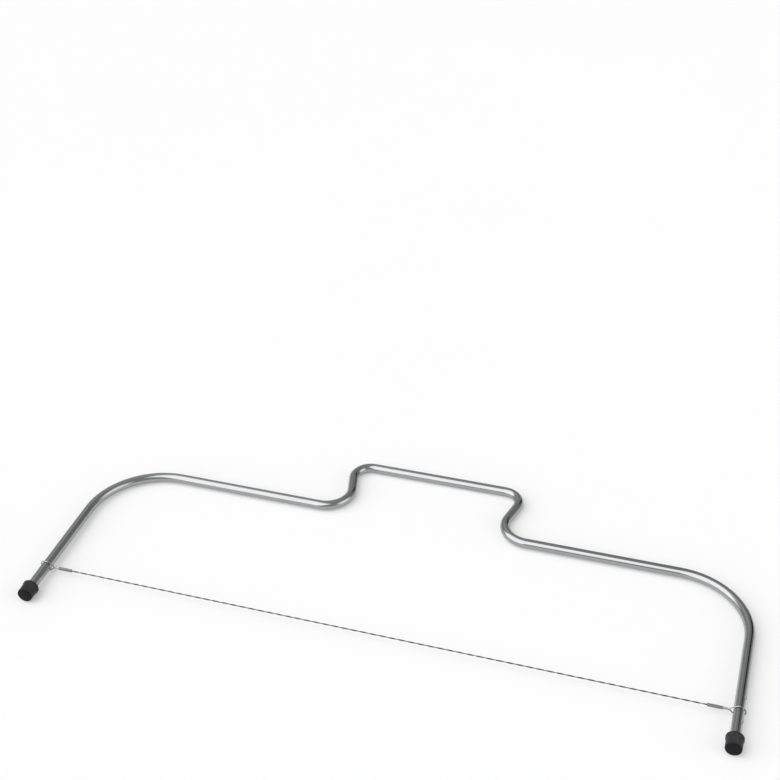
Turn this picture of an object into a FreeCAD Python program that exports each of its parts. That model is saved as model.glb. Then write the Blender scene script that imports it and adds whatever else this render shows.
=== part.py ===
import FreeCAD, Part
import math
import os
import Sketcher

# Cake leveler: one bent steel rod with a raised handle, a push-on cap on each leg, and a taut cutting wire
# whose end loops go round the legs and hook into notches filed into their outer sides.
#
# Each sub-part is drawn in the tool's own plane: X along the wire, Y up the legs to the handle, Z out of the
# plane, with zero where the wire crosses the tool's middle. The whole tool is then laid down on Z = 0, where
# the caps' collars and the handle bar touch the surface, with the origin at the bottom centre of its box.

# Driving dimensions in millimetres, with angles in degrees
SIZES = {
    # Bent rod, measured on its centre line
    "rod_diameter": 5.0,
    "leg_spacing": 340.0,
    "wire_to_bar": 82.8,
    "handle_rise": 37.3,
    "handle_bar_length": 72.2,
    "riser_lean": 14.0,
    "corner_radius": 36.8,
    "handle_base_radius": 13.05,
    "handle_top_radius": 9.0,
    # Notches in the outer side of each leg, the middle one at the wire
    "notch_pitch": 7.2,
    "notch_radius": 1.25,
    "notch_depth": 1.2,
    # Foot caps, from the mouth down
    "cap_drop": 15.2,
    "cap_length": 7.6,
    "cap_clearance": 0.05,
    "cap_lip": 1.15,
    "cap_wall": 1.27,
    "cap_base_inset": 0.08,
    "cap_floor": 2.0,
    "cap_edge_radius": 0.8,
    "shoulder_height": 0.5,
    "collar_height": 1.2,
    "collar_overhang": 0.3,
    "collar_round": 0.3,
    # End loops: the eye round the leg, the reach to the bend where the tails meet, and the straight neck
    "loop_wire_diameter": 0.6,
    "loop_clearance": 0.15,
    "loop_bend_radius": 1.2,
    "loop_reach": 1.6,
    "loop_neck": 2.4,
    "loop_tail_gap": 0.08,
    "loop_tail_length": 3.6,
    # Crimped ferrules
    "ferrule_clearance": 0.03,
    "ferrule_wall": 0.13,
    "ferrule_cheek": 0.2,
    "ferrule_web": 0.84,
    "ferrule_round": 0.45,
    "crimp_radius": 0.9,
    "crimp_depth": 0.12,
    # Cutting wire
    "wire_diameter": 0.65,
    "wire_end_length": 2.4,
}

# Sizes that several pieces share, worked out from the sheet's names
ROD_RADIUS = "Sizes.rod_diameter / 2"
HALF_SPAN = "Sizes.leg_spacing / 2"
HANDLE_HEIGHT = "Sizes.wire_to_bar + Sizes.handle_rise"
LEG_DROP = "Sizes.cap_drop + Sizes.cap_length - Sizes.cap_floor - Sizes.cap_clearance"
SOCKET_RADIUS = f"({ROD_RADIUS} + Sizes.cap_clearance)"
WAIST_RADIUS = f"({SOCKET_RADIUS} + Sizes.cap_wall)"
COLLAR_RADIUS = f"({WAIST_RADIUS} + Sizes.collar_overhang)"
CAP_BASE_RADIUS = f"({WAIST_RADIUS} - Sizes.cap_base_inset)"
LOOP_WIRE_RADIUS = "Sizes.loop_wire_diameter / 2"
EYE_RADIUS = f"({ROD_RADIUS} + Sizes.loop_clearance + {LOOP_WIRE_RADIUS})"
TAIL_OFFSET = f"({LOOP_WIRE_RADIUS} + Sizes.loop_tail_gap / 2)"
TAIL_BORE_RADIUS = f"({LOOP_WIRE_RADIUS} + Sizes.ferrule_clearance)"
BEND_END = f"({EYE_RADIUS} + Sizes.loop_reach)"
FERRULE_START = f"({BEND_END} + Sizes.loop_neck)"
TAIL_END = f"({FERRULE_START} + Sizes.loop_tail_length)"
WIRE_END = f"({TAIL_END} + Sizes.ferrule_web + 2 * Sizes.ferrule_clearance)"
FERRULE_END = f"({WIRE_END} + Sizes.wire_end_length)"

NOTCH_STEPS = (-1, 0, 1)
CRIMP_SHARES = (0.3, 0.7)
SIDES = {"left": -1, "right": 1}

X_AXIS = FreeCAD.Vector(1, 0, 0)
Y_AXIS = FreeCAD.Vector(0, 1, 0)
Z_AXIS = FreeCAD.Vector(0, 0, 1)

# Sketch indices of the origin, the vertical axis and the points of an edge
ORIGIN_POINT = (-1, 1)
VERTICAL_AXIS_INDEX = -2
START, END, CENTRE = range(1, 4)
MATCH_TOLERANCE = 1e-6


# Helpers

def make_sheet(document):
    """Put the driving dimensions into a sheet, one named cell each."""
    cells = document.addObject("Spreadsheet::Sheet", "Sizes")
    for row, (name, number) in enumerate(SIZES.items(), start=1):
        cells.set(f"A{row}", name)
        cells.set(f"B{row}", str(number))
        cells.setAlias(f"B{row}", name)
    document.recompute()
    return cells


def size(expression):
    """Work out an expression in the sheet's names."""
    return float(sheet.evalExpression(expression))


def new_body(label):
    """Start a sub-part under its own label."""
    body = doc.addObject("PartDesign::Body", label)
    body.Label = label
    return body


def new_sketch(body, name, plane, offset=None):
    """Make a sketch on one of the body's origin planes, moved along the plane's normal by the offset."""
    sketch = body.newObject("Sketcher::SketchObject", name)
    support = next(item for item in body.Origin.OriginFeatures if item.Role == plane)
    sketch.AttachmentSupport = [(support, "")]
    sketch.MapMode = "FlatFace"
    if offset:
        sketch.setExpression("AttachmentOffset.Base.z", offset)
    return sketch


def constrain(sketch, *terms, to=None):
    """Add one constraint to a sketch, with its value tied to the sheet where an expression is given."""
    if to is None:
        sketch.addConstraint(Sketcher.Constraint(*terms))
        return
    start_value = math.radians(size(to)) if terms[0] == "Angle" else size(to)
    index = sketch.addConstraint(Sketcher.Constraint(*terms, start_value))
    sketch.setExpression(f"Constraints[{index}]", to)


def pin_point(sketch, edge, point, x, y):
    """Fix a point of a sketch at two expressions, measured from the sketch's origin."""
    for kind, place_expression in (("DistanceX", x), ("DistanceY", y)):
        constrain(sketch, kind, *ORIGIN_POINT, edge, point, to=place_expression)


def draw_circle(sketch, x, y, radius):
    """Draw a circle with its centre and radius tied to expressions."""
    centre = FreeCAD.Vector(size(x), size(y), 0)
    edge = sketch.addGeometry(Part.Circle(centre, Z_AXIS, size(radius)), False)
    pin_point(sketch, edge, CENTRE, x, y)
    constrain(sketch, "Radius", edge, to=radius)


def draw_outline(sketch, corners):
    """Draw a closed outline of straight lines through corners given as expressions."""
    points = [FreeCAD.Vector(size(x), size(y), 0) for x, y in corners]
    ends = points[1:] + points[:1]
    edges = [sketch.addGeometry(Part.LineSegment(*pair), False) for pair in zip(points, ends)]
    for edge, following in zip(edges, edges[1:] + edges[:1]):
        constrain(sketch, "Coincident", edge, END, following, START)
    for edge, (x, y) in zip(edges, corners):
        pin_point(sketch, edge, START, x, y)


def line(begin, end):
    """Give one straight run of a path, with the ends where the path enters and leaves it."""
    return Part.LineSegment(begin, end), START, END


def arc(centre, radius, entry, leave, clockwise):
    """Give one arc of a path between two angles, with the ends where the path enters and leaves it."""
    circle = Part.Circle(centre, Z_AXIS, radius)
    if clockwise:
        return Part.ArcOfCircle(circle, leave, entry), END, START
    return Part.ArcOfCircle(circle, entry, leave), START, END


def rounded_path(corners, radii):
    """Give straight runs through the corners, with a tangent arc of the given radius at each inner one."""
    pieces = []
    begin = corners[0]
    for before, corner, after, radius in zip(corners, corners[1:], corners[2:], radii):
        coming = (corner - before).normalize()
        going = (after - corner).normalize()
        turn_side = -1 if coming.cross(going).z < 0 else 1
        setback = radius * math.tan(coming.getAngle(going) / 2)
        entry = corner - coming * setback
        leave = corner + going * setback
        centre = entry + Z_AXIS.cross(coming) * (turn_side * radius)
        angles = [math.atan2(point.y - centre.y, point.x - centre.x) for point in (entry, leave)]
        pieces.append(line(begin, entry))
        pieces.append(arc(centre, radius, *angles, turn_side < 0))
        begin = leave
    pieces.append(line(begin, corners[-1]))
    return pieces


def draw_path(sketch, pieces):
    """Draw lines and arcs one after another, each tangent to the next, and give their numbers."""
    edges = [sketch.addGeometry(geometry, False) for geometry, _, _ in pieces]
    for number in range(len(edges) - 1):
        leave = pieces[number][2]
        entry = pieces[number + 1][1]
        constrain(sketch, "Tangent", edges[number], leave, edges[number + 1], entry)
    return edges


def sweep(body, name, path, section):
    """Sweep a section along a path."""
    pipe = body.newObject("PartDesign::AdditivePipe", name)
    pipe.Profile = section
    pipe.Spine = path
    doc.recompute()


def cut(body, name, sketch, depth=None, reverse=False):
    """Cut a sketch into the body, right through where no depth is given, and see that it took material."""
    before = body.Shape.Volume
    pocket = body.newObject("PartDesign::Pocket", name)
    pocket.Profile = sketch
    pocket.Reversed = reverse
    if depth:
        pocket.setExpression("Length", depth)
    else:
        pocket.SideType = "Symmetric"
        pocket.Type = "ThroughAll"
    doc.recompute()
    assert pocket.Shape.Volume < before, name


def round_edges(body, name, radius, wanted):
    """Fillet those edges of the body's last feature that the test picks."""
    doc.recompute()
    base = body.Tip
    picked = [f"Edge{number}" for number, edge in enumerate(base.Shape.Edges, start=1) if wanted(edge)]
    fillet = body.newObject("PartDesign::Fillet", name)
    fillet.Base = (base, picked)
    fillet.setExpression("Radius", radius)
    doc.recompute()


def is_ring(edge, radius, height):
    """Tell whether an edge is a circle of this radius about Y, at this height along Y."""
    if not isinstance(edge.Curve, Part.Circle):
        return False
    misses = (edge.Curve.Radius - radius, edge.Curve.Center.y - height)
    return max(abs(miss) for miss in misses) < MATCH_TOLERANCE


# Bent rod

def rod_corners():
    """Give the sharp corners of the rod's centre line, from the left leg's end to the right leg's."""
    lean = math.radians(size("Sizes.riser_lean"))
    top_setback = size("Sizes.handle_top_radius") * math.tan((math.pi / 2 + lean) / 2)
    top_x = size("Sizes.handle_bar_length / 2") + top_setback
    base_x = top_x - size("Sizes.handle_rise") * math.tan(lean)
    bar_y = size("Sizes.wire_to_bar")
    right = [
        (top_x, size(HANDLE_HEIGHT)),
        (base_x, bar_y),
        (size(HALF_SPAN), bar_y),
        (size(HALF_SPAN), -size(LEG_DROP)),
    ]
    left = [(-x, y) for x, y in reversed(right)]
    return [FreeCAD.Vector(x, y, 0) for x, y in left + right]


def draw_rod_path(path):
    """Draw the rod's centre line and tie it to the sheet."""
    bend_names = ["Sizes.corner_radius", "Sizes.handle_base_radius", "Sizes.handle_top_radius"]
    bend_names += reversed(bend_names)
    edges = draw_path(path, rounded_path(rod_corners(), [size(name) for name in bend_names]))
    left_leg, left_bar, left_riser, handle_bar, right_riser, right_bar, right_leg = edges[0::2]
    for bend, name in zip(edges[1::2], bend_names):
        constrain(path, "Radius", bend, to=name)
    for leg in (left_leg, right_leg):
        constrain(path, "Vertical", leg)
    for bar in (left_bar, right_bar):
        constrain(path, "Horizontal", bar)
        constrain(path, "DistanceY", *ORIGIN_POINT, bar, START, to="Sizes.wire_to_bar")
    constrain(path, "Symmetric", handle_bar, START, handle_bar, END, VERTICAL_AXIS_INDEX)
    constrain(path, "DistanceX", handle_bar, START, handle_bar, END, to="Sizes.handle_bar_length")
    constrain(path, "DistanceY", *ORIGIN_POINT, handle_bar, START, to=HANDLE_HEIGHT)
    constrain(path, "Angle", left_riser, to="90 + Sizes.riser_lean")
    constrain(path, "Angle", right_riser, to="-90 - Sizes.riser_lean")
    constrain(path, "Symmetric", left_leg, START, right_leg, END, VERTICAL_AXIS_INDEX)
    constrain(path, "DistanceX", left_leg, START, right_leg, END, to="Sizes.leg_spacing")
    constrain(path, "DistanceY", right_leg, END, *ORIGIN_POINT, to=LEG_DROP)


def make_frame_rod():
    """Sweep the rod along its bends, then file the notches into the legs."""
    body = new_body("frame_rod")
    path = new_sketch(body, "RodPath", "XY_Plane")
    draw_rod_path(path)
    section = new_sketch(body, "RodSection", "XZ_Plane", offset=LEG_DROP)
    draw_circle(section, f"-{HALF_SPAN}", "0", ROD_RADIUS)
    sweep(body, "Rod", path, section)

    notches = new_sketch(body, "NotchCircles", "XY_Plane")
    notch_x = f"({HALF_SPAN} + {ROD_RADIUS} + Sizes.notch_radius - Sizes.notch_depth)"
    for sign in SIDES.values():
        for step in NOTCH_STEPS:
            draw_circle(notches, f"{sign} * {notch_x}", f"{step} * Sizes.notch_pitch", "Sizes.notch_radius")
    cut(body, "Notches", notches)
    return body


# Foot caps, drawn from the mouth's centre with the cap hanging down along Y

def make_foot_cap(side):
    """Turn one cap about its leg: a conical shoulder, a collar, a tapered body and a blind socket."""
    body = new_body(f"{side}_foot_cap")
    collar_top = "-Sizes.shoulder_height"
    collar_end = f"({collar_top} - Sizes.collar_height)"
    outline = new_sketch(body, "CapOutline", "XY_Plane")
    draw_outline(outline, [
        ("0", "-Sizes.cap_length"),
        (CAP_BASE_RADIUS, "-Sizes.cap_length"),
        (WAIST_RADIUS, f"{collar_end} - Sizes.collar_overhang"),
        (COLLAR_RADIUS, collar_end),
        (COLLAR_RADIUS, collar_top),
        (f"{SOCKET_RADIUS} + Sizes.cap_lip", "0"),
        (SOCKET_RADIUS, "0"),
        (SOCKET_RADIUS, "Sizes.cap_floor - Sizes.cap_length"),
        ("0", "Sizes.cap_floor - Sizes.cap_length"),
    ])
    turned = body.newObject("PartDesign::Revolution", "Cap")
    turned.Profile = outline
    turned.ReferenceAxis = (outline, ["V_Axis"])
    base_ring = (size(CAP_BASE_RADIUS), size("-Sizes.cap_length"))
    collar_rings = [(size(COLLAR_RADIUS), size(height)) for height in (collar_top, collar_end)]
    round_edges(body, "BaseRound", "Sizes.cap_edge_radius", lambda edge: is_ring(edge, *base_ring))
    round_edges(body, "CollarRound", "Sizes.collar_round",
                lambda edge: any(is_ring(edge, *ring) for ring in collar_rings))
    return body


# Wire end fittings, drawn from the leg's centre line with X pointing inward along the wire

def loop_path_pieces():
    """Give the loop's centre line: upper tail, bend, side, eye round the leg, side, bend and lower tail."""
    eye = size(EYE_RADIUS)
    bend = size("Sizes.loop_bend_radius")
    upper_tail_end = FreeCAD.Vector(size(TAIL_END), size(TAIL_OFFSET), 0)
    upper_bend_end = FreeCAD.Vector(size(BEND_END), size(TAIL_OFFSET), 0)
    upper_centre = upper_bend_end + Y_AXIS * bend
    bearing = math.atan2(upper_centre.y, upper_centre.x)
    touch = bearing + math.acos((eye + bend) / upper_centre.Length)
    outward = FreeCAD.Vector(math.cos(touch), math.sin(touch), 0)
    upper_bend_start = upper_centre - outward * bend
    upper_touch = outward * eye

    def mirrored(point):
        return FreeCAD.Vector(point.x, -point.y, 0)

    return [
        line(upper_tail_end, upper_bend_end),
        arc(upper_centre, bend, -math.pi / 2, touch - math.pi, True),
        line(upper_bend_start, upper_touch),
        arc(FreeCAD.Vector(), eye, touch, -touch, False),
        line(mirrored(upper_touch), mirrored(upper_bend_start)),
        arc(mirrored(upper_centre), bend, math.pi - touch, math.pi / 2, True),
        line(mirrored(upper_bend_end), mirrored(upper_tail_end)),
    ]


def make_end_loop(side):
    """Bend a stiff wire round the leg, with its two tails one above the other."""
    body = new_body(f"{side}_end_loop")
    path = new_sketch(body, "LoopPath", "XZ_Plane")
    upper_tail, upper_bend, _, eye, _, lower_bend, lower_tail = draw_path(path, loop_path_pieces())
    constrain(path, "Coincident", eye, CENTRE, *ORIGIN_POINT)
    constrain(path, "Radius", eye, to=EYE_RADIUS)
    for bend in (upper_bend, lower_bend):
        constrain(path, "Radius", bend, to="Sizes.loop_bend_radius")
    pin_point(path, upper_tail, START, TAIL_END, TAIL_OFFSET)
    pin_point(path, upper_tail, END, BEND_END, TAIL_OFFSET)
    pin_point(path, lower_tail, START, BEND_END, f"-{TAIL_OFFSET}")
    pin_point(path, lower_tail, END, TAIL_END, f"-{TAIL_OFFSET}")
    section = new_sketch(body, "LoopSection", "YZ_Plane", offset=TAIL_END)
    draw_circle(section, "0", TAIL_OFFSET, LOOP_WIRE_RADIUS)
    sweep(body, "Loop", path, section)
    return body


def make_ferrule(side):
    """Make a flat sleeve, bored for the loop's tails and the wire and dented where it was crimped."""
    body = new_body(f"{side}_ferrule")
    half_width = f"({TAIL_BORE_RADIUS} + Sizes.ferrule_cheek)"
    half_height = f"({TAIL_OFFSET} + {TAIL_BORE_RADIUS} + Sizes.ferrule_wall)"
    length = f"{FERRULE_END} - {FERRULE_START}"
    outline = new_sketch(body, "SleeveOutline", "YZ_Plane", offset=FERRULE_START)
    draw_outline(outline, [
        (f"-{half_width}", f"-{half_height}"),
        (half_width, f"-{half_height}"),
        (half_width, half_height),
        (f"-{half_width}", half_height),
    ])
    sleeve = body.newObject("PartDesign::Pad", "Sleeve")
    sleeve.Profile = outline
    sleeve.setExpression("Length", length)
    round_edges(body, "SleeveRound", "Sizes.ferrule_round",
                lambda edge: abs(edge.Length - size(length)) < MATCH_TOLERANCE)

    tails = new_sketch(body, "TailHoles", "YZ_Plane", offset=FERRULE_START)
    for sign in SIDES.values():
        draw_circle(tails, "0", f"{sign} * {TAIL_OFFSET}", TAIL_BORE_RADIUS)
    cut(body, "TailBores", tails, "Sizes.loop_tail_length + Sizes.ferrule_clearance", reverse=True)

    hole = new_sketch(body, "WireHole", "YZ_Plane", offset=FERRULE_END)
    draw_circle(hole, "0", "0", "Sizes.wire_diameter / 2 + Sizes.ferrule_clearance")
    cut(body, "WireBore", hole, "Sizes.wire_end_length + Sizes.ferrule_clearance")

    crimps = new_sketch(body, "CrimpCircles", "XY_Plane")
    crimp_y = f"({half_width} + Sizes.crimp_radius - Sizes.crimp_depth)"
    for share in CRIMP_SHARES:
        for sign in SIDES.values():
            draw_circle(crimps, f"{FERRULE_START} + {share} * ({length})", f"{sign} * {crimp_y}",
                        "Sizes.crimp_radius")
    cut(body, "Crimps", crimps)
    return body


# Cutting wire

def make_cutting_wire():
    """Make the straight wire, with its ends inside the ferrules."""
    wire = doc.addObject("Part::Cylinder", "cutting_wire")
    wire.Label = "cutting_wire"
    wire.setExpression("Radius", "Sizes.wire_diameter / 2")
    wire.setExpression("Height", f"({HALF_SPAN} - {WIRE_END}) * 2")
    return wire


# Laying the tool down

def lying_placement():
    """Tip the tool until the collars and the handle bar touch Z = 0, and centre its box on the origin."""
    rod = size(ROD_RADIUS)
    collar = size(COLLAR_RADIUS)
    handle_y = size(HANDLE_HEIGHT)
    collar_y = size("-Sizes.cap_drop - Sizes.shoulder_height")
    span = handle_y - collar_y
    tip = math.atan2(collar, span) - math.asin(rod / math.hypot(span, collar))
    foot_y = size("-Sizes.cap_drop - Sizes.cap_length")
    foot_radius = size(f"{CAP_BASE_RADIUS} - Sizes.cap_edge_radius")
    front = foot_y * math.cos(tip) - foot_radius * math.sin(tip)
    back = handle_y * math.cos(tip) + rod
    shift = FreeCAD.Vector(0, -(front + back) / 2, handle_y * math.sin(tip) + rod)
    return FreeCAD.Placement(shift, FreeCAD.Rotation(X_AXIS, -math.degrees(tip)))


def place(part, point, rotation=FreeCAD.Rotation()):
    """Put a sub-part at a point of the tool's own plane, then lay it down with the tool."""
    part.Placement = lying.multiply(FreeCAD.Placement(point, rotation))


def check_and_write(parts):
    """Stop if anything failed to build, then write each sub-part to its own file."""
    doc.recompute()
    for item in doc.Objects:
        assert not {"Invalid", "Error"} & set(item.State), f"{item.Name}: {item.State}"
    for part in parts:
        assert not part.Shape.isNull() and part.Shape.isValid(), part.Label
        assert len(part.Shape.Solids) == 1, part.Label
    os.makedirs("parts", exist_ok=True)
    for part in parts:
        part.Shape.exportStep(f"parts/{part.Label}.step")
        print(f"{part.Label}: {part.Shape.Volume:.3f} mm3")


doc = FreeCAD.newDocument("CakeLeveler")
sheet = make_sheet(doc)
lying = lying_placement()

frame_rod = make_frame_rod()
place(frame_rod, FreeCAD.Vector())
cutting_wire = make_cutting_wire()
wire_start = FreeCAD.Vector(size(f"{WIRE_END} - {HALF_SPAN}"), 0, 0)
place(cutting_wire, wire_start, FreeCAD.Rotation(Z_AXIS, X_AXIS))
sub_parts = [frame_rod, cutting_wire]

for side_name, side_sign in SIDES.items():
    leg_point = FreeCAD.Vector(side_sign * size(HALF_SPAN), 0, 0)
    facing_in = FreeCAD.Rotation(Z_AXIS, 0 if side_sign < 0 else 180)
    foot_cap = make_foot_cap(side_name)
    place(foot_cap, leg_point - Y_AXIS * size("Sizes.cap_drop"))
    end_loop = make_end_loop(side_name)
    place(end_loop, leg_point, facing_in)
    ferrule = make_ferrule(side_name)
    place(ferrule, leg_point, facing_in)
    sub_parts += [foot_cap, end_loop, ferrule]

check_and_write(sub_parts)
print(f"laid down by {math.degrees(lying.Rotation.Angle):.7f} degrees about X, then moved by "
      f"{lying.Base.y:.6f} mm along Y and {lying.Base.z:.6f} mm up")
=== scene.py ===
"""Cake leveler lying on a white table: bent steel rod, black push-on feet and a taut twisted cutting wire."""

import math

import bmesh
import bpy
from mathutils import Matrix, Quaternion, Vector


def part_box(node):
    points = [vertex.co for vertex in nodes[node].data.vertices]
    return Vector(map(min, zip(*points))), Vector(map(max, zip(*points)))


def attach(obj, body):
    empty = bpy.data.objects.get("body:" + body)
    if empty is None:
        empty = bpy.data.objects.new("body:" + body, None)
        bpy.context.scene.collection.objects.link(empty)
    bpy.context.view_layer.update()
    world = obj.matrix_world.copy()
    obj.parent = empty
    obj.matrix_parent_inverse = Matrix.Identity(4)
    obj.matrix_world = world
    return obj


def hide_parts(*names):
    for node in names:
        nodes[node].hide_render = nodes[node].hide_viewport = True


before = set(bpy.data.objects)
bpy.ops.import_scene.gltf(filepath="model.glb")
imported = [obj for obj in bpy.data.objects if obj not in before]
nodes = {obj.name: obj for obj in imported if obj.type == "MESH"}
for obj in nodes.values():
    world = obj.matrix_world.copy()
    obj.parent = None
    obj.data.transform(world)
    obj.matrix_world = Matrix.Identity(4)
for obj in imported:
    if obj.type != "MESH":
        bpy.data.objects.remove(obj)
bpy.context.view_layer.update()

Z_AXIS = Vector((0.0, 0.0, 1.0))
WHITE = (1.0, 1.0, 1.0, 1.0)

# Camera for a square picture: places in metres, lens and sensor in millimetres
CAMERA_PLACE = Vector((0.1604, -0.4988, 0.4852))
CAMERA_AIM = Vector((-0.0496, 0.1400, 0.0040))
CAMERA_ROLL = math.radians(-1.53)
CAMERA_LENS = 65.7
SENSOR_WIDTH = 36.0
NEAREST_VIEW = 0.01

# Studio: angles in degrees, bearings from +Y round towards +X, and heights above the horizon
ROOM_LEVEL = 0.45
SOFTBOX = {
    "bearing": -132.0, "height": 46.0, "half_width": 36.5, "half_height": 37.0, "soft": 8.0, "level": 1.9,
}
DARK_SCREEN = {
    "bearing": 28.0, "height": 23.0, "half_width": 6.5, "half_height": 18.0, "soft": 3.0, "level": -0.33,
}
FILL_LIGHT = {"bearing": 95.0, "height": 22.0, "inner": 11.0, "outer": 34.0, "level": 1.35}
SIDE_LIGHT = {"bearing": -88.0, "height": 26.0, "inner": 5.0, "outer": 15.0, "level": 1.15}
REAR_LIGHT = {"bearing": -38.0, "height": 50.0, "inner": 8.0, "outer": 20.0, "level": 0.24}
DIM_CORNER = {"bearing": 30.0, "height": 24.0, "inner": 32.0, "outer": 48.0, "level": -0.1}
BACKDROP_LEVEL = 1.0
BACKDROP_TOP = 4.0
BACKDROP_SOFT = 1.0
LEAST_FACING = 0.001

# Noise: its detail and roughness by kind, and the limits that most of its values lie between
PLAIN = {"detail": 2.0, "roughness": 0.5}
FINE = {"detail": 3.0, "roughness": 0.5}
GRAINY = {"detail": 3.0, "roughness": 0.6}
CLOUDY = {"detail": 4.0, "roughness": 0.6}
NOISE_LOW = 0.3
NOISE_HIGH = 0.7

# Below, noise is in cells to the metre, along X, Y and Z where it is stretched, and relief is in metres

# Rod: leg distances are in from its outer side, and rub distances from the loops towards the handle
ROD_TONES = ((0.335, 0.34, 0.345, 1.0), (0.385, 0.39, 0.395, 1.0))
ROD_POLISH = 35.0
ROD_POLISH_ROUGHNESS = (0.09, 0.14)
ROD_BAR_LINES = (12.0, 900.0, 900.0)
ROD_LEG_LINES = (900.0, 12.0, 900.0)
ROD_LINE_ROUGHNESS = (-0.02, 0.03)
ROD_LINE_RELIEF = 0.000004
ROD_LEG_START = 0.0325
ROD_LEG_FULL = 0.0065
ROD_SCUFFS = (300.0, 1500.0, 300.0)
ROD_SCUFF_ROUGHNESS = (0.0, 0.06)
ROD_RUB_FULL = 0.0039
ROD_RUB_NONE = 0.0139

# Foot caps: a painted shade darkens the end, and its dark tone pales to the side's between two distances from
# the end; the sides' paler streaks are wear and painted sheen
CAP_TONES = ((0.007, 0.007, 0.008, 1.0), (0.048, 0.048, 0.052, 1.0))
CAP_ROUGHNESS = (0.42, 0.62)
CAP_SPECULAR = 0.12
CAP_GRAIN = 2600.0
CAP_GRAIN_RELIEF = 0.00003
CAP_GRAIN_STRENGTH = 0.6
CAP_PATCHES = 260.0
CAP_STREAKS = (1500.0, 120.0, 1500.0)
CAP_STREAK_SHARE = 0.4
# Range of the sides' paler streaks: partly wear, partly painted sheen
CAP_WEAR_AND_SHEEN = (0.25, 1.0)
# Painted shade on the end: full up to the first distance, gone by the second
CAP_END_SHADE_FULL = 0.0003
CAP_END_SHADE_NONE = 0.0014

# Cutting wire: two strands twisted together, with the pitch in metres
STRAND_COUNT = 2
TWIST_PITCH = 0.0094
STEPS_PER_TURN = 24
STRAND_SIDES = 10
WIRE_TONES = ((0.045, 0.045, 0.047, 1.0), (0.1, 0.1, 0.103, 1.0))
WIRE_STAINS = 420.0
WIRE_STAIN_ROUGHNESS = (0.26, 0.42)
WIRE_LINES = (300.0, 4000.0, 4000.0)
WIRE_LINE_RELIEF = 0.000006

# End loops
LOOP_TONES = ((0.32, 0.32, 0.325, 1.0), (0.46, 0.46, 0.465, 1.0))
LOOP_POLISH = 600.0
LOOP_POLISH_ROUGHNESS = (0.12, 0.24)
LOOP_GRAIN = 5000.0
LOOP_GRAIN_RELIEF = 0.000004

# Ferrules
SLEEVE_TONES = ((0.19, 0.19, 0.195, 1.0), (0.27, 0.27, 0.275, 1.0))
SLEEVE_PATCHES = 520.0
SLEEVE_PATCH_ROUGHNESS = (0.34, 0.5)
SLEEVE_MARKS = (2600.0, 700.0, 700.0)
SLEEVE_MARK_RELIEF = 0.00002
SLEEVE_MARK_STRENGTH = 0.7

# Table: its side in metres, and the share of plain white that is mixed in where it is seen or mirrored
TABLE_SIDE = 60.0
TABLE_SEGMENTS = 8
TABLE_TONES = ((0.885, 0.885, 0.885, 1.0), (0.9, 0.9, 0.9, 1.0))
TABLE_PATCHES = 3.0
TABLE_ROUGHNESS = 0.9
TABLE_SPECULAR = 0.1
TABLE_GLOW = 1.0
TABLE_GLOW_SHARE = 0.25


# Node helpers

def new_material(name, metallic=0.0):
    """Start a node material and give it back with its tree and its main shader."""
    material = bpy.data.materials.new(name)
    material.use_nodes = True
    tree = material.node_tree
    shader = tree.nodes["Principled BSDF"]
    shader.inputs["Metallic"].default_value = metallic
    return material, tree, shader


def add_node(tree, kind, inputs=None, **settings):
    """Add a node, set its properties, and set or link its inputs by name or number."""
    node = tree.nodes.new(kind)
    for name, value in settings.items():
        setattr(node, name, value)
    for name, value in (inputs or {}).items():
        if isinstance(value, bpy.types.NodeSocket):
            tree.links.new(value, node.inputs[name])
        else:
            node.inputs[name].default_value = value
    return node


def object_coordinates(tree):
    """Places on the piece, in metres, in the part's own frame."""
    return add_node(tree, "ShaderNodeTexCoord").outputs["Object"]


def axes_of(tree, vector):
    """The X, Y and Z of a place or a direction."""
    return add_node(tree, "ShaderNodeSeparateXYZ", {"Vector": vector}).outputs


def dot_product(tree, first, second):
    """How far one direction points along another."""
    node = add_node(tree, "ShaderNodeVectorMath", {0: first, 1: second}, operation="DOT_PRODUCT")
    return node.outputs["Value"]


def noise(tree, vector, scale, detail, roughness):
    """Soft random values about one half."""
    inputs = {"Vector": vector, "Scale": scale, "Detail": detail, "Roughness": roughness}
    return add_node(tree, "ShaderNodeTexNoise", inputs).outputs["Fac"]


def stretched_noise(tree, vector, scales, **kind):
    """Noise with a scale of its own along each axis."""
    places = add_node(tree, "ShaderNodeMapping", {"Vector": vector, "Scale": scales}).outputs["Vector"]
    return noise(tree, places, 1.0, **kind)


def spread(tree, value, low, high, from_low=NOISE_LOW, from_high=NOISE_HIGH):
    """Turn values between two limits into a smooth range from low to high."""
    inputs = {"Value": value, "From Min": from_low, "From Max": from_high, "To Min": low, "To Max": high}
    return add_node(tree, "ShaderNodeMapRange", inputs, interpolation_type="SMOOTHSTEP").outputs["Result"]


def math_node(tree, operation, first, second=0.0):
    """Join two values, or a value and a number."""
    return add_node(tree, "ShaderNodeMath", {0: first, 1: second}, operation=operation).outputs["Value"]


def mix_values(tree, share, first, second):
    """Go from the first value to the second by a share."""
    inputs = {"Factor": share, "A": first, "B": second}
    return add_node(tree, "ShaderNodeMix", inputs, data_type="FLOAT").outputs["Result"]


def two_tones(tree, value, dark, light):
    """A colour between two tones."""
    ramp = add_node(tree, "ShaderNodeValToRGB", {"Fac": value})
    ramp.color_ramp.elements[0].color = dark
    ramp.color_ramp.elements[1].color = light
    return ramp.outputs["Color"]


def bump(tree, height, distance, strength=1.0):
    """Relief from a height between 0 and 1, as deep as the distance."""
    inputs = {"Height": height, "Distance": distance, "Strength": strength}
    return add_node(tree, "ShaderNodeBump", inputs).outputs["Normal"]


def seen_rays(tree):
    """One where a surface is seen, straight, mirrored or through glass, and zero where it only lights."""
    ray = add_node(tree, "ShaderNodeLightPath").outputs
    seen = math_node(tree, "MAXIMUM", ray["Is Camera Ray"], ray["Is Glossy Ray"])
    return math_node(tree, "MAXIMUM", seen, ray["Is Transmission Ray"])


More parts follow.
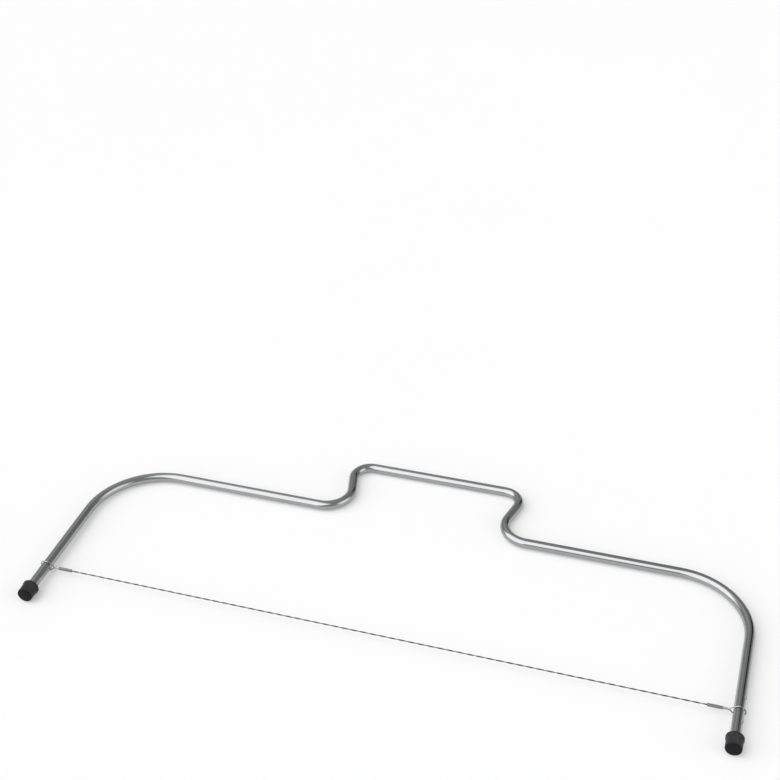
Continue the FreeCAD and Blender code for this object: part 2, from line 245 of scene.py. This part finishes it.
def feed(tree, shader, **sources):
    """Link sockets to the shader's inputs, with underscores for spaces."""
    for name, source in sources.items():
        tree.links.new(source, shader.inputs[name.replace("_", " ")])


# Materials

def rod_steel():
    """Polished drawn steel: fine lines along the rod, uneven polish, and dull legs where the loops rub."""
    material, tree, shader = new_material("polished_steel", metallic=1.0)
    place = object_coordinates(tree)
    axes = axes_of(tree, place)
    outer_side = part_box("frame_rod")[1].x
    from_middle = math_node(tree, "ABSOLUTE", axes["X"])
    leg_share = spread(tree, from_middle, 0.0, 1.0, outer_side - ROD_LEG_START, outer_side - ROD_LEG_FULL)
    bar_lines = stretched_noise(tree, place, ROD_BAR_LINES, **FINE)
    leg_lines = stretched_noise(tree, place, ROD_LEG_LINES, **FINE)
    lines = mix_values(tree, leg_share, bar_lines, leg_lines)
    polish = noise(tree, place, ROD_POLISH, **CLOUDY)
    loop_low, loop_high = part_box("left_end_loop")
    loop_place = (loop_low.y + loop_high.y) / 2
    low_leg = spread(tree, axes["Y"], 1.0, 0.0, loop_place + ROD_RUB_FULL, loop_place + ROD_RUB_NONE)
    scuffs = stretched_noise(tree, place, ROD_SCUFFS, **PLAIN)
    rubbed = math_node(tree, "MULTIPLY", low_leg, spread(tree, scuffs, *ROD_SCUFF_ROUGHNESS))
    roughness = math_node(tree, "ADD", spread(tree, polish, *ROD_POLISH_ROUGHNESS), rubbed)
    roughness = math_node(tree, "ADD", roughness, spread(tree, lines, *ROD_LINE_ROUGHNESS))
    feed(tree, shader, Roughness=roughness,
         Base_Color=two_tones(tree, polish, *ROD_TONES),
         Normal=bump(tree, lines, ROD_LINE_RELIEF))
    return material


def cap_plastic():
    """Black moulded plastic: fine grain, sides paler in streaks along the cap from wear and a painted sheen,
    and a painted shade on the end.
    """
    material, tree, shader = new_material("black_plastic")
    place = object_coordinates(tree)
    grain = noise(tree, place, CAP_GRAIN, **GRAINY)
    patches = noise(tree, place, CAP_PATCHES, **CLOUDY)
    streaks = stretched_noise(tree, place, CAP_STREAKS, **GRAINY)
    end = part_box("left_foot_cap")[0].y
    along = axes_of(tree, place)["Y"]
    # Painted shade: the end is darkened to near black, paling to the side's tone
    past_end_shade = spread(tree, along, 0.0, 1.0, end + CAP_END_SHADE_FULL, end + CAP_END_SHADE_NONE)
    # Paler streaks on the sides: partly wear, partly painted sheen
    wear_and_sheen = spread(tree, mix_values(tree, CAP_STREAK_SHARE, patches, streaks), *CAP_WEAR_AND_SHEEN)
    wear_sheen_and_shade = math_node(tree, "MULTIPLY", past_end_shade, wear_and_sheen)
    feed(tree, shader, Roughness=spread(tree, patches, *CAP_ROUGHNESS),
         Base_Color=two_tones(tree, wear_sheen_and_shade, *CAP_TONES),
         Normal=bump(tree, grain, CAP_GRAIN_RELIEF, CAP_GRAIN_STRENGTH))
    shader.inputs["Specular IOR Level"].default_value = CAP_SPECULAR
    return material


def wire_steel():
    """Dull drawn wire with faint stains."""
    material, tree, shader = new_material("drawn_wire", metallic=1.0)
    place = object_coordinates(tree)
    stains = noise(tree, place, WIRE_STAINS, **GRAINY)
    lines = stretched_noise(tree, place, WIRE_LINES, **PLAIN)
    feed(tree, shader, Roughness=spread(tree, stains, *WIRE_STAIN_ROUGHNESS),
         Base_Color=two_tones(tree, stains, *WIRE_TONES),
         Normal=bump(tree, lines, WIRE_LINE_RELIEF))
    return material


def loop_steel():
    """Bright spring wire of the end loops, polished by sliding on the legs."""
    material, tree, shader = new_material("bright_wire", metallic=1.0)
    place = object_coordinates(tree)
    polish = noise(tree, place, LOOP_POLISH, **GRAINY)
    grain = noise(tree, place, LOOP_GRAIN, **PLAIN)
    feed(tree, shader, Roughness=spread(tree, polish, *LOOP_POLISH_ROUGHNESS),
         Base_Color=two_tones(tree, polish, *LOOP_TONES),
         Normal=bump(tree, grain, LOOP_GRAIN_RELIEF))
    return material


def ferrule_metal():
    """Soft grey metal sleeve, dulled by the crimping jaws."""
    material, tree, shader = new_material("crimped_sleeve", metallic=1.0)
    place = object_coordinates(tree)
    marks = stretched_noise(tree, place, SLEEVE_MARKS, **GRAINY)
    patches = noise(tree, place, SLEEVE_PATCHES, **GRAINY)
    feed(tree, shader, Roughness=spread(tree, patches, *SLEEVE_PATCH_ROUGHNESS),
         Base_Color=two_tones(tree, patches, *SLEEVE_TONES),
         Normal=bump(tree, marks, SLEEVE_MARK_RELIEF, SLEEVE_MARK_STRENGTH))
    return material


def table_white():
    """Matt white table top with a barely uneven tone, part of it plain white where it is seen or mirrored."""
    material, tree, shader = new_material("white_table")
    patches = noise(tree, object_coordinates(tree), TABLE_PATCHES, **PLAIN)
    feed(tree, shader, Base_Color=two_tones(tree, patches, *TABLE_TONES))
    shader.inputs["Roughness"].default_value = TABLE_ROUGHNESS
    shader.inputs["Specular IOR Level"].default_value = TABLE_SPECULAR
    glow = add_node(tree, "ShaderNodeEmission", {"Color": WHITE, "Strength": TABLE_GLOW})
    share = math_node(tree, "MULTIPLY", seen_rays(tree), TABLE_GLOW_SHARE)
    shaders = {0: share, 1: shader.outputs["BSDF"], 2: glow.outputs["Emission"]}
    mixed = add_node(tree, "ShaderNodeMixShader", shaders)
    tree.links.new(mixed.outputs["Shader"], tree.nodes["Material Output"].inputs["Surface"])
    material.cycles.emission_sampling = "NONE"
    return material


# Pieces

def add_object(name, mesh_data, material):
    """Link a finished mesh to the scene."""
    mesh = bpy.data.meshes.new(name)
    mesh_data.to_mesh(mesh)
    mesh_data.free()
    mesh.materials.append(material)
    thing = bpy.data.objects.new(name, mesh)
    bpy.context.scene.collection.objects.link(thing)
    return thing


def strand_ring(mesh_data, x, centre, phase, radius):
    """One ring of a strand that touches the wire's axis: square to the strand's lean, round its centre."""
    turn = math.tau / TWIST_PITCH
    angle = turn * x + phase
    middle = Vector((x, centre.y + radius * math.cos(angle), centre.z + radius * math.sin(angle)))
    along = Vector((1.0, -radius * turn * math.sin(angle), radius * turn * math.cos(angle))).normalized()
    outward = Vector((0.0, math.cos(angle), math.sin(angle)))
    across = along.cross(outward)
    ring = []
    for step in range(STRAND_SIDES):
        way = math.tau * step / STRAND_SIDES
        spoke = math.cos(way) * outward + math.sin(way) * across
        ring.append(mesh_data.verts.new(middle + radius * spoke))
    return ring


def twisted_wire(material):
    """Strands wound round the wire's axis, filling the round wire that they stand for."""
    low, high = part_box("cutting_wire")
    centre = (low + high) / 2
    radius = (high.z - low.z) / 2 / STRAND_COUNT
    lean = math.atan(math.tau * radius / TWIST_PITCH)
    inset = radius * math.sin(lean)
    length = high.x - low.x - 2 * inset
    steps = round(length / TWIST_PITCH * STEPS_PER_TURN)
    mesh_data = bmesh.new()
    for strand in range(STRAND_COUNT):
        phase = math.tau * strand / STRAND_COUNT
        rings = [strand_ring(mesh_data, low.x + inset + length * step / steps, centre, phase, radius)
                 for step in range(steps + 1)]
        for ring, following in zip(rings, rings[1:]):
            for index in range(STRAND_SIDES):
                after = (index + 1) % STRAND_SIDES
                side = mesh_data.faces.new((ring[index], ring[after], following[after], following[index]))
                side.smooth = True
        mesh_data.faces.new(rings[0][::-1])
        mesh_data.faces.new(rings[-1])
    bmesh.ops.recalc_face_normals(mesh_data, faces=mesh_data.faces)
    wire = add_object("twisted_wire", mesh_data, material)
    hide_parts("cutting_wire")
    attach(wire, "wire_set")


def dress_nodes(node_materials):
    """Give the carried-over nodes their finished materials."""
    for name, material in node_materials.items():
        nodes[name].material_slots[0].material = material


# Stage

def make_table():
    """Lay a wide white table top under the tool."""
    mesh_data = bmesh.new()
    segments = {"x_segments": TABLE_SEGMENTS, "y_segments": TABLE_SEGMENTS}
    bmesh.ops.create_grid(mesh_data, size=TABLE_SIDE / 2, **segments)
    table = add_object("table_top", mesh_data, table_white())


def bearing_vector(bearing, height):
    """The direction at a bearing and a height above the horizon."""
    turn, lift = math.radians(bearing), math.radians(height)
    return Vector((math.sin(turn) * math.cos(lift), math.cos(turn) * math.cos(lift), math.sin(lift)))


def round_patch(tree, direction, patch):
    """A round soft-edged patch of the studio, at its level inside and nothing outside."""
    middle = bearing_vector(patch["bearing"], patch["height"])
    edge, core = math.cos(math.radians(patch["outer"])), math.cos(math.radians(patch["inner"]))
    return spread(tree, dot_product(tree, direction, middle), 0.0, patch["level"], edge, core)


def panel_patch(tree, direction, panel):
    """A rectangular soft-edged panel, at its level inside and nothing outside."""
    middle = bearing_vector(panel["bearing"], panel["height"])
    across = middle.cross(Z_AXIS).normalized()
    upward = across.cross(middle)
    facing = math_node(tree, "MAXIMUM", dot_product(tree, direction, middle), LEAST_FACING)
    level = panel["level"]
    for axis, half in ((across, panel["half_width"]), (upward, panel["half_height"])):
        aside = dot_product(tree, direction, axis)
        angle = math_node(tree, "ABSOLUTE", math_node(tree, "ARCTAN2", aside, facing))
        edge, core = math.radians(half + panel["soft"]), math.radians(half - panel["soft"])
        level = math_node(tree, "MULTIPLY", spread(tree, angle, 1.0, 0.0, core, edge), level)
    return level


def backdrop_share(tree, direction):
    """One in the white strip of backdrop past the table's edge, where it is seen, and zero elsewhere."""
    lift = axes_of(tree, direction)["Z"]
    full = math.sin(math.radians(BACKDROP_TOP - BACKDROP_SOFT))
    none = math.sin(math.radians(BACKDROP_TOP + BACKDROP_SOFT))
    return math_node(tree, "MULTIPLY", spread(tree, lift, 1.0, 0.0, full, none), seen_rays(tree))


def make_studio():
    """Light the tool from a grey room with a softbox, three smaller lights and a screen in a dim corner."""
    world = bpy.data.worlds.new("studio")
    bpy.context.scene.world = world
    world.use_nodes = True
    tree = world.node_tree
    direction = add_node(tree, "ShaderNodeTexCoord").outputs["Generated"]
    level = ROOM_LEVEL
    for panel in (SOFTBOX, DARK_SCREEN):
        level = math_node(tree, "ADD", panel_patch(tree, direction, panel), level)
    for patch in (FILL_LIGHT, SIDE_LIGHT, REAR_LIGHT, DIM_CORNER):
        level = math_node(tree, "ADD", round_patch(tree, direction, patch), level)
    level = mix_values(tree, backdrop_share(tree, direction), level, BACKDROP_LEVEL)
    background = tree.nodes["Background"]
    tree.links.new(level, background.inputs["Strength"])
    background.inputs["Color"].default_value = WHITE


def make_camera():
    """Look at the tool from the front right, from above."""
    camera_data = bpy.data.cameras.new("camera")
    camera_data.sensor_width = SENSOR_WIDTH
    camera_data.lens = CAMERA_LENS
    camera_data.clip_start = NEAREST_VIEW
    camera = bpy.data.objects.new("camera", camera_data)
    facing = (CAMERA_AIM - CAMERA_PLACE).to_track_quat("-Z", "Y")
    camera.location = CAMERA_PLACE
    camera.rotation_euler = (facing @ Quaternion(Z_AXIS, CAMERA_ROLL)).to_euler()
    bpy.context.scene.collection.objects.link(camera)
    bpy.context.scene.camera = camera


steel = rod_steel()
plastic = cap_plastic()
bright_wire = loop_steel()
sleeve = ferrule_metal()
dress_nodes({
    "frame_rod": steel,
    "left_foot_cap": plastic, "right_foot_cap": plastic,
    "left_end_loop": bright_wire, "right_end_loop": bright_wire,
    "left_ferrule": sleeve, "right_ferrule": sleeve,
})
twisted_wire(wire_steel())
make_table()
make_studio()
make_camera()
bpy.context.scene.view_settings.view_transform = "Standard"
